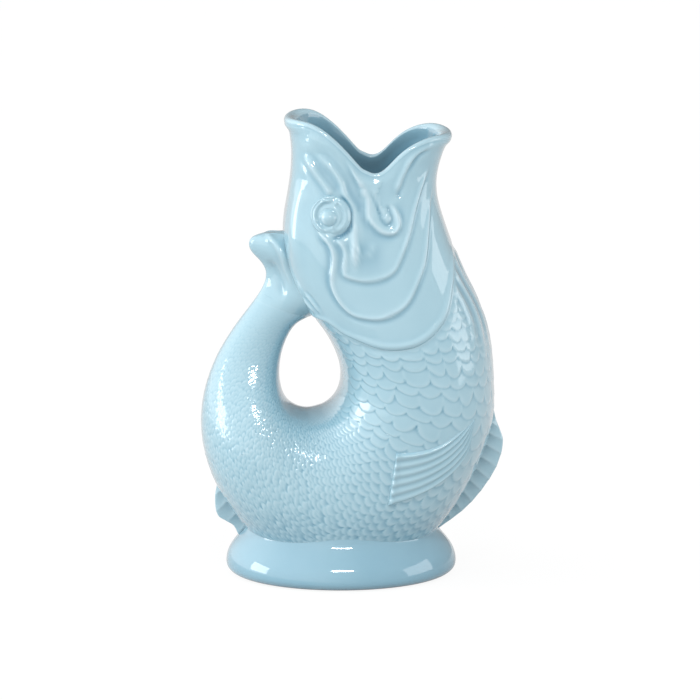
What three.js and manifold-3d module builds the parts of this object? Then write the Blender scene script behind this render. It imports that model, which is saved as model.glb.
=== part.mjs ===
// A fish-shaped pouring jug in glazed earthenware, standing upright on an oval foot.
// The open mouth is the spout, and the hollow tail curls up to the nape as the handle.
// The jug is drawn as the clay members it is luted from: shells, foot, fins, gill covers and eyes.
// Millimetres, +Z up. The origin is on the table under the middle of the jug's length, the lower lip
// points to +X, the tail curls out to -X, and the two sides are alike about the plane Y = 0.

import * as THREE from "three";
import { mergeVertices } from "three/addons/utils/BufferGeometryUtils.js";
import Module from "manifold-3d";

const wasm = await Module();
wasm.setup();

// Driving dimensions.
const JUG_HEIGHT = 230; // from the table to the upper lip
const JUG_LENGTH = 149; // from the bend of the tail to the edge of the belly fin
const BELLY_BREADTH = 95; // across the fish where it is broadest
const WALL = 5; // cast wall of the head, the belly and the foot
const TAIL_WALL = 4.5; // cast wall of the hollow tail
const SLIP_GAP = 0.3; // film of slip between two luted members

const FOOT_HEIGHT = 22; // from the table to the seam under the belly
const FOOT_FLARE = 10.5; // how far the foot stands out past that seam
const FOOT_LIFT = 7; // height of the foot's widest line
const FOOT_ROUND = 6; // how far the bottom edge rounds under
const FOOT_FLOOR = 5; // thickness of the jug's floor
const FOOT_RECESS = 2.5; // depth of the hollow under that floor
const FOOT_RING = 6; // width of the ring that touches the table
const FOOT_SHOULDER = 2.6; // how full the foot's upper curve is: 1 is a straight cone

const GILL_PLATE = 1.5; // thickness of a gill cover
const EYE_RADIUS = 9.8; // outside of the raised ring round an eye
const EYE_RING = 2.6; // width of that ring
const EYE_RING_HEIGHT = 2.2; // how far the ring stands out
const EYE_FLOOR = 1.1; // thickness of the plate inside the ring
const PUPIL_RADIUS = 4.2; // domed pupil

const PECTORAL_PLATE = 1.8; // thickness of a side fin between its rays
const PECTORAL_RAY_HEIGHT = 2.8; // thickness of a side fin at its rays
const PECTORAL_RAY_WIDTH = 1.7;
const PECTORAL_RAYS = 6;
const KEEL_PLATE = 3.4; // thickness of the belly fin and the tail fin between their rays
const KEEL_RAY_HEIGHT = 5.2; // thickness at their rays
const KEEL_RAY_WIDTH = 2;
const BELLY_FIN_RAYS = 9;
const TAIL_FIN_RAYS = 3;

// Side-view points are [x, z] in hundredths of the jug's length and height.

// Stations of the fish from its lips to the end of its tail. Each has a point on the outline of the back
// and one on the outline of the belly, and half the fish's breadth there in hundredths of its greatest.
const STATIONS = [
  { name: "lips", back: [-24.2, 104.3], belly: [35.6, 100.9], half: 36.8 },
  { name: "lip_flare", back: [-20.5, 96.5], belly: [31.2, 93.9], half: 33.2 },
  { name: "neck", back: [-19.8, 89.6], belly: [28.1, 88.3], half: 30 },
  { name: "eyes", back: [-21.1, 82.2], belly: [27.4, 82.6], half: 31.6 },
  { name: "nape", back: [-23.2, 74.8], belly: [30.7, 75.2], half: 36.3 },
  { name: "gill", back: [-21.1, 66.5], belly: [35.8, 66.1], half: 42.1 },
  { name: "shoulder", back: [-15.4, 59.6], belly: [41.7, 58.7], half: 45.8 },
  { name: "chest", back: [-8.7, 52.6], belly: [45.5, 50.9], half: 48.4 },
  { name: "breast", back: [-4.9, 46.7], belly: [46.4, 42.2], half: 49.5 },
  { name: "fin_top", back: [-4.3, 42.4], belly: [46.4, 33], half: 50 },
  { name: "fin_middle", back: [-5.8, 39], belly: [41.3, 23.5], half: 48.9 },
  { name: "fin_end", back: [-9.2, 37], belly: [31.2, 12.4], half: 46.8 },
  { name: "keel_front", back: [-12.4, 36.5], belly: [14.8, 2.2], half: 44.7 },
  { name: "keel", back: [-15.1, 36.3], belly: [-6, -2.2], half: 43.7 },
  { name: "keel_rear", back: [-17.8, 36.7], belly: [-24.5, 3.5], half: 42.1 },
  { name: "vent", back: [-20.1, 37.7], belly: [-39.2, 13.5], half: 38.9 },
  { name: "tail_root", back: [-22.1, 39.3], belly: [-46.8, 22.2], half: 34.2 },
  { name: "tail_swell", back: [-23.4, 42], belly: [-49.9, 31.3], half: 28.4 },
  { name: "tail_middle", back: [-23.7, 45], belly: [-49, 38.9], half: 24.2 },
  { name: "tail_lean", back: [-22.8, 48.5], belly: [-45.3, 46.3], half: 20 },
  { name: "tail_slim", back: [-20.8, 52], belly: [-39.9, 52.4], half: 16.8 },
  { name: "tail_wrist", back: [-17.4, 54.8], belly: [-34.6, 57.2], half: 13.7 },
  { name: "fluke_root", back: [-11.4, 57], belly: [-30.5, 61.1], half: 11.1 },
  { name: "fluke_waist", back: [-10.1, 62.2], belly: [-28.8, 64.8], half: 8.9 },
  { name: "fluke_spread", back: [-12.8, 66.5], belly: [-30.2, 68], half: 7.9 },
  { name: "fluke_lobe", back: [-16.8, 70.9], belly: [-34, 70.1], half: 6.8 },
  { name: "fluke_edge", back: [-19.5, 74.6], belly: [-34.6, 72.7], half: 5.8 },
];
const SECTION_FULLNESS = 2.25; // 2 is an ellipse, and more is squarer

// The lips' edge in side view, from the upper lip past the corner of the mouth to the lower lip.
const LIP_LINE = [
  [-26.2, 98.5],
  [-21.5, 99.6],
  [-16.8, 99.8],
  [-11.4, 98.7],
  [-4.7, 95.4],
  [0.3, 92],
  [4, 89.8],
  [7.4, 88.9],
  [10.4, 89.8],
  [13.4, 91.5],
  [17.4, 93.8],
  [21.5, 95.3],
  [26.2, 96.1],
  [30.2, 95.4],
  [36.9, 93.3],
];

// What is luted on.
const EYE_PLACE = [-8.4, 79.6];
const GILL_OUTLINE = [
  [-18.1, 67.4],
  [-12.8, 60.4],
  [-3.4, 55],
  [6, 52.6],
  [16.1, 52],
  [25.5, 54.8],
  [30.9, 60.9],
  [31.5, 67],
  [24.8, 72.6],
  [11.4, 74.8],
  [-3.4, 73.5],
  [-13.4, 71.3],
];
const PECTORAL_ROOT = [35.6, 36.1];
const PECTORAL_TOP = { bend: [27.5, 30.4], end: [10.4, 29.1] };
const PECTORAL_BOTTOM = { bend: [27.5, 23.5], end: [8.1, 18.9] };
const BELLY_FIN_EDGE = [
  [46, 36.5],
  [47.7, 32.4],
  [50, 28.3],
  [48, 23.3],
  [43.5, 18],
  [37.9, 13.5],
  [31.9, 10.9],
];
const TAIL_FIN_EDGE = [
  [-43.6, 19.6],
  [-45.2, 16.5],
  [-44.6, 13.3],
  [-41.6, 11.5],
  [-37.6, 10.4],
];

// Fineness of the meshes.
const RING_POINTS = 40;
const STATION_STEPS = 2; // rings from one station to the next
const OUTLINE_STEPS = 24;
const ROUND_STEPS = 28;

const glaze = new THREE.MeshStandardMaterial({
  name: "pale_blue_glaze",
  color: 0xa3c9d8,
  roughness: 0.12,
  metalness: 0,
});

// Solids and meshes.

function toSolid(geometry) {
  const bare = geometry.clone();
  bare.deleteAttribute("normal");
  bare.deleteAttribute("uv");
  const merged = mergeVertices(bare);
  return new wasm.Manifold(
    new wasm.Mesh({
      numProp: 3,
      vertProperties: merged.attributes.position.array,
      triVerts: new Uint32Array(merged.index.array),
    }),
  );
}

function toMesh(name, solid) {
  const made = solid.getMesh();
  const geometry = new THREE.BufferGeometry();
  geometry.setAttribute("position", new THREE.BufferAttribute(made.vertProperties, made.numProp));
  geometry.setIndex(new THREE.BufferAttribute(made.triVerts, 1));
  geometry.computeVertexNormals();
  const mesh = new THREE.Mesh(geometry, glaze);
  mesh.name = name;
  return mesh;
}

// A closed solid skinned over a row of rings that have the same number of points.
function skin(rings) {
  const count = rings[0].length;
  const middle = (ring) => ring.reduce((sum, p) => sum.add(p), new THREE.Vector3()).divideScalar(count);
  const points = [...rings.flat(), middle(rings[0]), middle(rings.at(-1))];
  const first = rings.length * count;
  const last = first + 1;
  const faces = [];
  for (let i = 0; i < count; i += 1) {
    const next = (i + 1) % count;
    faces.push(first, next, i);
    for (let ring = 0; ring < rings.length - 1; ring += 1) {
      const here = ring * count;
      const there = here + count;
      faces.push(here + i, here + next, there + next);
      faces.push(here + i, there + next, there + i);
    }
    const top = (rings.length - 1) * count;
    faces.push(last, top + i, top + next);
  }
  const geometry = new THREE.BufferGeometry().setFromPoints(points);
  geometry.setIndex(faces);
  return toSolid(geometry);
}

// A slab with a side-view outline, from one y to another.
function slab(outline, fromY, toY) {
  const geometry = new THREE.ExtrudeGeometry(new THREE.Shape(outline), {
    depth: toY - fromY,
    bevelEnabled: false,
  });
  geometry.rotateX(Math.PI / 2);
  geometry.translate(0, toY, 0);
  return toSolid(geometry);
}

// A side-view point in millimetres.
function sidePoint([x, z]) {
  return new THREE.Vector2((x * JUG_LENGTH) / 100, (z * JUG_HEIGHT) / 100);
}

// The fish's surface.

function rail(stations, side) {
  const points = stations.map((entry) => {
    const { x, y } = sidePoint(entry[side]);
    return new THREE.Vector3(x, (entry.half * BELLY_BREADTH) / 100, y);
  });
  return new THREE.CatmullRomCurve3(points);
}

const bellyRail = rail(STATIONS, "belly");
const backRail = rail(STATIONS, "back");

function station(name) {
  return STATIONS.findIndex((entry) => entry.name === name);
}

// The rung across the fish at a station number, which may lie between two stations.
function rung(place) {
  const share = place / (STATIONS.length - 1);
  const belly = bellyRail.getPoint(share);
  const half = belly.y;
  const back = backRail.getPoint(share);
  belly.y = 0;
  back.y = 0;
  const across = belly.clone().sub(back);
  return { middle: belly.add(back).multiplyScalar(0.5), reach: across.length() / 2, across: across.normalize(), half };
}

function rounded(cosine) {
  return Math.sign(cosine) * Math.abs(cosine) ** (2 / SECTION_FULLNESS);
}

// A closed ring round the fish at a rung, stood off its surface by grow and moved along the fish by shift.
function fishRing(place, grow, shift = 0) {
  const { middle, reach, across, half } = rung(place);
  const along = new THREE.Vector3(across.z, 0, -across.x).multiplyScalar(shift);
  return Array.from({ length: RING_POINTS }, (_, i) => {
    const angle = (-2 * Math.PI * i) / RING_POINTS;
    const point = middle.clone().add(along);
    point.addScaledVector(across, (reach + grow) * rounded(Math.cos(angle)));
    point.y += (half + grow) * rounded(Math.sin(angle));
    return point;
  });
}

// The fish between two station numbers. The first ring can be set back by a gap.
function fish(from, to, grow = 0, gap = 0) {
  const steps = Math.max(1, Math.ceil((to - from) * STATION_STEPS));
  const rings = Array.from({ length: steps + 1 }, (_, i) =>
    fishRing(from + ((to - from) * i) / steps, grow, i === 0 ? gap : 0),
  );
  return skin(rings);
}

const LIPS = station("lips");
const GILL = station("gill");
const BREAST = station("breast");
const TAIL_ROOT = station("tail_root");
const TAIL_WRIST = station("tail_wrist");
const FLUKE_ROOT = station("fluke_root");
const FLUKE_EDGE = station("fluke_edge");
const PAST_A_SEAM = 0.4; // how many stations a hollow runs past a seam, so that it opens there

const farReach = 200; // past every side of the jug
const belowSeam = (height) => {
  const box = new THREE.BoxGeometry(2 * farReach, 2 * farReach, farReach);
  return toSolid(box.translate(0, 0, height - farReach / 2));
};

// The shells.

function headShell() {
  const line = new THREE.SplineCurve(LIP_LINE.map(sidePoint)).getPoints(2 * OUTLINE_STEPS);
  const above = [line.at(-1), line[0]].map(({ x }) => new THREE.Vector2(x, 2 * farReach));
  const mouth = slab([...line, ...above], -farReach, farReach);
  return fish(LIPS, GILL).subtract(mouth).subtract(fish(LIPS, GILL + PAST_A_SEAM, -WALL));
}

function bellyShell() {
  return fish(GILL, TAIL_ROOT, 0, SLIP_GAP)
    .subtract(fish(GILL - PAST_A_SEAM, TAIL_ROOT + PAST_A_SEAM, -WALL))
    .subtract(belowSeam(FOOT_HEIGHT + SLIP_GAP));
}

// What the tail and its fluke are luted to: the nape and the top of the back.
const nape = fish(LIPS, BREAST, SLIP_GAP);

function tailHandle() {
  return fish(TAIL_ROOT, FLUKE_ROOT, 0, SLIP_GAP)
    .subtract(fish(TAIL_ROOT - PAST_A_SEAM, TAIL_WRIST, -TAIL_WALL))
    .subtract(nape);
}

function tailFluke() {
  return fish(FLUKE_ROOT, FLUKE_EDGE, 0, SLIP_GAP).subtract(nape);
}

// The foot, an oval cup that takes its seam from the belly's own section at that height.

function bellySeam() {
  const found = { left: Infinity, right: -Infinity, half: 0 };
  for (let place = BREAST; place <= TAIL_ROOT; place += 1 / RING_POINTS) {
    const { middle, reach, across, half } = rung(place);
    const share = (FOOT_HEIGHT - middle.z) / (across.z * reach);
    if (Math.abs(share) <= 1) {
      const x = middle.x + across.x * reach * share;
      found.left = Math.min(found.left, x);
      found.right = Math.max(found.right, x);
      const y = half * (1 - Math.abs(share) ** SECTION_FULLNESS) ** (1 / SECTION_FULLNESS);
      found.half = Math.max(found.half, y);
    }
  }
  return found;
}

const seam = bellySeam();
const seamMiddle = (seam.left + seam.right) / 2;
const seamReach = (seam.right - seam.left) / 2;

// A level oval ring that stands out past the seam.
function footRing(height, standOut) {
  return new THREE.EllipseCurve(seamMiddle, 0, seamReach + standOut, seam.half + standOut)
    .getPoints(RING_POINTS)
    .slice(0, RING_POINTS)
    .map(({ x, y }) => new THREE.Vector3(x, y, height));
}

function footOutside(share) {
  if (share < 0) {
    const turn = ((1 + share) * Math.PI) / 2;
    return footRing(FOOT_LIFT * (1 - Math.cos(turn)), FOOT_FLARE - FOOT_ROUND * (1 - Math.sin(turn)));
  }
  const rise = FOOT_HEIGHT - FOOT_LIFT;
  return footRing(FOOT_LIFT + rise * share, FOOT_FLARE * (1 - share ** FOOT_SHOULDER));
}

function foot() {
  const steps = 6;
  const shares = Array.from({ length: 2 * steps + 1 }, (_, i) => i / steps - 1);
  const outside = skin(shares.map(footOutside));
  const floor = FOOT_RECESS + FOOT_FLOOR;
  const insides = Array.from({ length: steps + 1 }, (_, i) => floor + ((FOOT_HEIGHT - floor) * i) / steps);
  const standOutAt = (height) => {
    const share = Math.max(0, (height - FOOT_LIFT) / (FOOT_HEIGHT - FOOT_LIFT));
    return FOOT_FLARE * (1 - share ** FOOT_SHOULDER) - WALL;
  };
  const hollow = skin([
    ...insides.map((height) => footRing(height, standOutAt(height))),
    footRing(FOOT_HEIGHT + WALL, -WALL),
  ]);
  const underside = FOOT_FLARE - FOOT_ROUND - FOOT_RING;
  const recess = skin([
    footRing(-FOOT_RECESS, underside + FOOT_RECESS),
    footRing(0, underside),
    footRing(FOOT_RECESS, underside - FOOT_RECESS),
  ]);
  return outside.subtract(hollow).subtract(recess);
}

// Members luted on the outside. A side of -1 is the right of someone who holds the tail, and +1 the left.

// The layer over the fish's skin between the slip and a given thickness.
function layer(from, to, thickness) {
  return fish(from, to, SLIP_GAP + thickness).subtract(fish(from, to, SLIP_GAP));
}

function onSide(outline, side) {
  return slab(outline, Math.min(0, side * farReach), Math.max(0, side * farReach));
}

function gillCover(side) {
  const outline = new THREE.SplineCurve([...GILL_OUTLINE, GILL_OUTLINE[0]].map(sidePoint)).getPoints(2 * OUTLINE_STEPS);
  const cover = layer(station("eyes"), station("breast"), GILL_PLATE);
  return cover.intersect(onSide(outline.slice(0, -1), side));
}

function eyeDisc(radius, side) {
  const { x, y } = sidePoint(EYE_PLACE);
  const circle = new THREE.EllipseCurve(x, y, radius, radius).getPoints(ROUND_STEPS);
  return onSide(circle.slice(0, -1), side);
}

function eye(side) {
  const [from, to] = [station("neck"), station("gill")];
  const ring = eyeDisc(EYE_RADIUS, side).subtract(eyeDisc(EYE_RADIUS - EYE_RING, side));
  const socket = layer(from, to, EYE_FLOOR).intersect(eyeDisc(EYE_RADIUS, side));
  const rim = layer(from, to, EYE_RING_HEIGHT).intersect(ring);
  const { middle, reach, half } = rung(station("eyes"));
  const place = sidePoint(EYE_PLACE);
  const across = Math.abs((place.x - middle.x) / reach);
  const depth = half * (1 - across ** SECTION_FULLNESS) ** (1 / SECTION_FULLNESS);
  const ball = new THREE.SphereGeometry(PUPIL_RADIUS, ROUND_STEPS / 2, ROUND_STEPS / 4);
  ball.translate(place.x, side * depth, place.y);
  const pupil = toSolid(ball).subtract(fish(from, to, SLIP_GAP));
  return socket.add(rim).add(pupil);
}

// A side fin's line from its root at the breast to a point a given share of the way down its free edge.
function pectoralLine(share) {
  const mix = (top, bottom) => sidePoint(top).lerp(sidePoint(bottom), share);
  return new THREE.QuadraticBezierCurve(
    sidePoint(PECTORAL_ROOT),
    mix(PECTORAL_TOP.bend, PECTORAL_BOTTOM.bend),
    mix(PECTORAL_TOP.end, PECTORAL_BOTTOM.end),
  );
}

// A ribbon of even width along a side-view curve.
function ribbon(curve, width, steps) {
  const edge = (sign) =>
    Array.from({ length: steps + 1 }, (_, i) => {
      const way = curve.getTangent(i / steps);
      const out = new THREE.Vector2(-way.y, way.x).multiplyScalar((sign * width) / 2);
      return curve.getPoint(i / steps).add(out);
    });
  return [...edge(-1), ...edge(1).reverse()];
}

function pectoralFin(side) {
  const [from, to] = [station("shoulder"), station("keel")];
  const steps = OUTLINE_STEPS / 3;
  const outline = [...pectoralLine(0).getPoints(steps), ...pectoralLine(1).getPoints(steps).slice(1).reverse()];
  const web = layer(from, to, PECTORAL_PLATE).intersect(onSide(outline, side));
  const rays = Array.from({ length: PECTORAL_RAYS }, (_, i) => {
    const line = pectoralLine((i + 0.5) / PECTORAL_RAYS);
    return onSide(ribbon(line, PECTORAL_RAY_WIDTH, steps), side);
  }).reduce((all, ray) => all.add(ray));
  const raised = layer(from, to, PECTORAL_RAY_HEIGHT).intersect(rays.intersect(onSide(outline, side)));
  return web.add(raised);
}

// A fin on the fish's middle line, between an edge and the skin, with rays across it.
function keelFin(edgePoints, rays, from, to) {
  const edge = new THREE.SplineCurve(edgePoints.map(sidePoint));
  const { middle } = rung((from + to) / 2);
  const root = new THREE.Vector2(middle.x, middle.z);
  const outline = [...edge.getPoints(OUTLINE_STEPS), root];
  const between = (thickness) => slab(outline, -thickness / 2, thickness / 2);
  const bars = Array.from({ length: rays }, (_, i) => {
    const tip = edge.getPoint((i + 0.5) / rays);
    const bar = new THREE.LineCurve(root, tip.add(tip.clone().sub(root)));
    return slab(ribbon(bar, KEEL_RAY_WIDTH, 1), -KEEL_RAY_HEIGHT, KEEL_RAY_HEIGHT);
  }).reduce((all, bar) => all.add(bar));
  return between(KEEL_PLATE)
    .add(between(KEEL_RAY_HEIGHT).intersect(bars))
    .subtract(fish(from, to, SLIP_GAP))
    .subtract(belowSeam(FOOT_HEIGHT + SLIP_GAP));
}

const jug = new THREE.Group();
jug.add(toMesh("foot", foot()));
jug.add(toMesh("belly_shell", bellyShell()));
jug.add(toMesh("head_shell", headShell()));
jug.add(toMesh("tail_handle", tailHandle()));
jug.add(toMesh("tail_fluke", tailFluke()));
jug.add(toMesh("belly_fin", keelFin(BELLY_FIN_EDGE, BELLY_FIN_RAYS, station("chest"), station("keel"))));
jug.add(toMesh("tail_fin", keelFin(TAIL_FIN_EDGE, TAIL_FIN_RAYS, station("keel"), station("tail_middle"))));
for (const [sideName, side] of [
  ["right", -1],
  ["left", 1],
]) {
  jug.add(toMesh(`gill_cover_${sideName}`, gillCover(side)));
  jug.add(toMesh(`eye_${sideName}`, eye(side)));
  jug.add(toMesh(`pectoral_fin_${sideName}`, pectoralFin(side)));
}

export default jug;
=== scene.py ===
# %% [markdown]
# # A fish-shaped jug in pale blue glaze
# The jug is earthenware cast in a mould: a fish that stands on the bend of its tail, with its mouth open
# as the spout and its tail curled up to its neck as the handle. Everything is one colour, so the work is
# in the shapes: scales, gill covers, fin rays and the way a gloss glaze thins on ridges and pools in
# grooves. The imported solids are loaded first, because every piece below sits where they say.

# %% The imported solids
import math

import bpy
import numpy as np
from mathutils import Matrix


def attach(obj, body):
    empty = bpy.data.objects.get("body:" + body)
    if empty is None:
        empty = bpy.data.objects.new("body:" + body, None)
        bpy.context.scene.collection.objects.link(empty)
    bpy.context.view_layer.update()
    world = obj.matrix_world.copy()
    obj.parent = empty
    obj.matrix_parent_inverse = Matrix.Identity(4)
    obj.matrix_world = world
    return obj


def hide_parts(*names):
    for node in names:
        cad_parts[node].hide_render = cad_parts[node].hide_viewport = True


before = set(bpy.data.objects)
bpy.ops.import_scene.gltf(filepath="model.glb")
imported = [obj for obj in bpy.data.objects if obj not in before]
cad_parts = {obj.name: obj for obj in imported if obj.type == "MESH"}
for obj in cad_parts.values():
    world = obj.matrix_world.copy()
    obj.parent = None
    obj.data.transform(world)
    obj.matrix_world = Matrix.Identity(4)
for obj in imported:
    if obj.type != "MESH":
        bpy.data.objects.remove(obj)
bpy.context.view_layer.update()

MM = 0.001
bpy.ops.object.select_all(action="DESELECT")

# %% [markdown]
# ## Camera
# The photograph was taken with a long lens from a little above and slightly round towards the tail.
# A long lens keeps the foot's ellipse and the mouth's ellipse almost alike, which is how the distance
# was judged. The focal length follows from how many pixels a millimetre covers at that distance.

# %% The camera
CAMERA_TURN = math.radians(-1.5)
CAMERA_RISE = math.radians(11.2)
CAMERA_DISTANCE = 4.7
CAMERA_AIM = np.array([-0.0011, 0, 0.111])
PIXELS_PER_MM = 2.04
PICTURE_PIXELS = 700
SENSOR_MM = 36

towards_camera = np.array([
    math.sin(CAMERA_TURN) * math.cos(CAMERA_RISE),
    -math.cos(CAMERA_TURN) * math.cos(CAMERA_RISE),
    math.sin(CAMERA_RISE),
])
bpy.ops.object.camera_add(location=CAMERA_AIM + CAMERA_DISTANCE * towards_camera)
camera = bpy.context.object
camera.rotation_euler = (math.pi / 2 - CAMERA_RISE, 0, CAMERA_TURN)
camera.data.sensor_width = SENSOR_MM
camera.data.lens = PIXELS_PER_MM * CAMERA_DISTANCE / MM * SENSOR_MM / PICTURE_PIXELS
camera.data.clip_end = 50
bpy.context.scene.camera = camera
print("lens", round(camera.data.lens), "mm")

# %% [markdown]
# ## Shader nodes
# The room, the floor and the glaze are all painted with shader nodes. By hand a node is added, its values
# are typed in and its wires are drawn. Two small helpers make the same three moves, so that each node
# below fits on a line or two.

# %% Adding and filling nodes
def fill(tree, made, inputs):
    """Gives each input of a node a value, or a wire where the value comes out of another node."""
    for socket, value in inputs.items():
        if isinstance(value, bpy.types.NodeSocket):
            tree.links.new(value, made.inputs[socket])
        else:
            made.inputs[socket].default_value = value


def node(tree, kind, inputs=None, **settings):
    made = tree.nodes.new("ShaderNode" + kind)
    for name, value in settings.items():
        setattr(made, name, value)
    fill(tree, made, inputs or {})
    return made


print("node tools ready")

# %% [markdown]
# ## Floor, world and lamps
# A gloss glaze shows its surroundings, so the lamps' shapes matter as much as their strength. Soft boxes
# left and right draw the long lights on the head and tail, and a narrow strip high in front draws the
# short bars on the foot. The rest of the light is the room's own: a dim base with wide soft glows on the
# left, above the camera and on the right, and a darker patch behind. The camera itself sees a white room
# and a white floor with a soft shadow on it.

# %% The white room
GLOSS_SHARE = 0.25
WORLD_BASE = 0.42
WORLD_GLOWS = [
    # direction, how far towards it the glow starts (1 is straight at it), strength that it adds
    ((-0.8, 0.55, 0.15), 0.45, 0.8),
    ((-0.95, -0.35, 0.2), 0, 1.4),
    ((0, -0.8, 0.6), -0.5, 0.4),
    ((0.9, -0.4, 0.1), 0.1, 0.28),
    ((0, 0.9, 0.45), 0.75, -0.32),
]

scene = bpy.context.scene
scene.view_settings.view_transform = "Standard"


def seen_directly(tree):
    """1 for what the camera or glass sees, a share of it for gloss, 0 for light that only bounces."""
    ray = node(tree, "LightPath").outputs
    total = node(tree, "Math", {0: ray["Is Glossy Ray"], 1: GLOSS_SHARE}, operation="MULTIPLY").outputs[0]
    for kind in ("Is Camera Ray", "Is Transmission Ray"):
        total = node(tree, "Math", {0: total, 1: ray[kind]}, operation="MAXIMUM").outputs[0]
    return total


world = bpy.data.worlds.new("white_room")
scene.world = world
world.use_nodes = True
room = world.node_tree
room.nodes.clear()
where = node(room, "TexCoord").outputs["Generated"]
strength = WORLD_BASE
for towards, start, gain in WORLD_GLOWS:
    direction = np.array(towards) / np.linalg.norm(towards)
    facing = node(room, "VectorMath", {0: where, 1: direction}, operation="DOT_PRODUCT").outputs["Value"]
    span = {"Value": facing, "From Min": start, "To Max": gain}
    brighten = node(room, "MapRange", span, interpolation_type="SMOOTHSTEP").outputs["Result"]
    strength = node(room, "Math", {0: strength, 1: brighten}, operation="ADD").outputs[0]
lights_all = node(room, "Background", {"Strength": strength}).outputs["Background"]
seen_white = node(room, "Background", {"Strength": 1}).outputs["Background"]
seen_or_lit = node(room, "MixShader", {"Fac": seen_directly(room), 1: lights_all, 2: seen_white})
node(room, "OutputWorld", {"Surface": seen_or_lit.outputs["Shader"]})
print("glows in the room:", len(WORLD_GLOWS))

# %% The floor
FLOOR_RADIUS, FLOOR_POINTS = 12, 96
FLOOR_GREY, FLOOR_SHARE_LIT, FLOOR_GLOW = 0.6, 0.12, 1.06

bpy.ops.mesh.primitive_circle_add(vertices=FLOOR_POINTS, radius=FLOOR_RADIUS, fill_type="NGON")
floor = bpy.context.object
floor.name = "floor"
floor_paint = bpy.data.materials.new("white_floor")
floor_paint.use_nodes = True
paint = floor_paint.node_tree
paint.nodes.clear()
lit = node(paint, "BsdfDiffuse", {"Color": (FLOOR_GREY, FLOOR_GREY, FLOOR_GREY, 1)}).outputs["BSDF"]
glow = node(paint, "Emission", {"Strength": FLOOR_GLOW}).outputs["Emission"]
shares = {0: seen_directly(paint), 1: 1 - FLOOR_SHARE_LIT}
glow_share = node(paint, "Math", shares, operation="MULTIPLY").outputs[0]
floor_mix = node(paint, "MixShader", {"Fac": glow_share, 1: lit, 2: glow})
node(paint, "OutputMaterial", {"Surface": floor_mix.outputs["Shader"]})
floor.data.materials.append(floor_paint)
print("floor", FLOOR_RADIUS, "m")

# %% The lamps
JUG_MIDDLE = (0, 0, 0.11)


def soft_box(name, turn, rise, distance, width, height, watts):
    """A rectangular lamp that faces the jug from a turn and rise in degrees, turn 0 being the front."""
    turn, rise = math.radians(turn), math.radians(rise)
    side, front = math.sin(turn) * math.cos(rise), math.cos(turn) * math.cos(rise)
    place = np.array(JUG_MIDDLE) + distance * np.array([side, -front, math.sin(rise)])
    bpy.ops.object.light_add(type="AREA", location=place)
    lamp = bpy.context.object
    lamp.name = name
    lamp.data.shape = "RECTANGLE"
    lamp.data.size, lamp.data.size_y = width, height
    lamp.data.energy = watts
    lamp.rotation_euler = (math.pi / 2 - rise, 0, turn)
    return lamp


lamps = [
    soft_box("left_box", -84, 12, 1.6, 0.62, 0.62, 4.8),
    soft_box("right_box", 78, 14, 1.6, 0.95, 0.8, 4.0),
    soft_box("overhead_strip", 1, 45, 1.9, 0.54, 0.13, 7),
]
print("lamps:", [lamp.name for lamp in lamps])

# %% [markdown]
# ## The fish's outline
# The body is bent round its handle hole, so it is measured as a ladder: one rail down the back, round the
# hole and up the inside of the tail, the other down the throat, under the belly and up the outside of the
# tail. Each rung is a slice through the fish. The table gives both ends of each rung in the side view and
# half the fish's breadth there, all in millimetres.

# %% Rungs of the ladder
RUNGS = {
    # name: back x, back z, belly x, belly z, half breadth
    "lips": (-37, 240, 55, 234, 33),
    "lip_flare": (-30.8, 222, 47, 217, 30.5),
    "neck": (-29.5, 206, 41.8, 203, 29),
    "eyes": (-31.5, 189, 40.8, 190, 31),
    "nape": (-34.5, 172, 45.8, 173, 35.5),
    "gill": (-31.5, 153, 53.4, 152, 40),
    "shoulder": (-24.2, 136.5, 62.2, 135, 43.5),
    "chest": (-13.6, 121.4, 67.8, 117, 46),
    "breast": (-7.3, 107.5, 69.2, 97, 47),
    "fin_top": (-6.4, 97.5, 69.2, 76, 47.5),
    "fin_middle": (-8.7, 89.7, 61.5, 54, 46.5),
    "fin_end": (-13.7, 85.2, 46.5, 28.5, 44.5),
    "keel_front": (-18.5, 84, 22, 5, 42.5),
    "keel": (-22.5, 83.5, -9, -5, 41.5),
    "keel_rear": (-26.5, 84.3, -36.5, 8, 40),
    "vent": (-30, 86.6, -58.4, 31, 38),
    "tail_root": (-33, 90.5, -69.8, 51, 35),
    "tail_swell": (-34.8, 96.5, -74.4, 72, 29),
    "tail_middle": (-35.3, 103.5, -73, 89.5, 21.5),
    "tail_lean": (-34, 111.5, -67.5, 106.5, 15.4),
    "tail_slim": (-31, 119.5, -59.5, 120.5, 12.4),
    "tail_wrist": (-26, 126, -51.5, 131.5, 11),
    "fluke_root": (-17, 129.4, -45.2, 140.2, 10),
    "fluke_waist": (-15, 143, -41.6, 148.8, 8.5),
    "fluke_spread": (-19, 153, -44.4, 155.4, 7.5),
    "fluke_lobe": (-22, 160.8, -50, 160.8, 6.5),
    "fluke_edge": (-22.5, 166, -50.6, 165.4, 5.5),
    "fluke_brim": (-23, 168.6, -48.8, 168, 5),
    "fluke_top": (-23.5, 170.2, -43.5, 169.6, 4.5),
}
RUNG_NUMBER = {name: number for number, name in enumerate(RUNGS)}
RAIL_STEPS = 100
RAIL_EASE = 0.4
FULLNESS = {0: 2.25, 1.5: 2.5, 3: 2.8, 5: 2.75, 7: 2.35, 9: 2.25, 20: 2.2, 22: 2}
BACK_FULLNESS = {0: 2.2, 1.5: 2.5, 2.5: 3.0, 4: 3.3, 5: 2.9, 7: 2.35, 9: 2.25, 20: 2.2, 22: 2}


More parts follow.
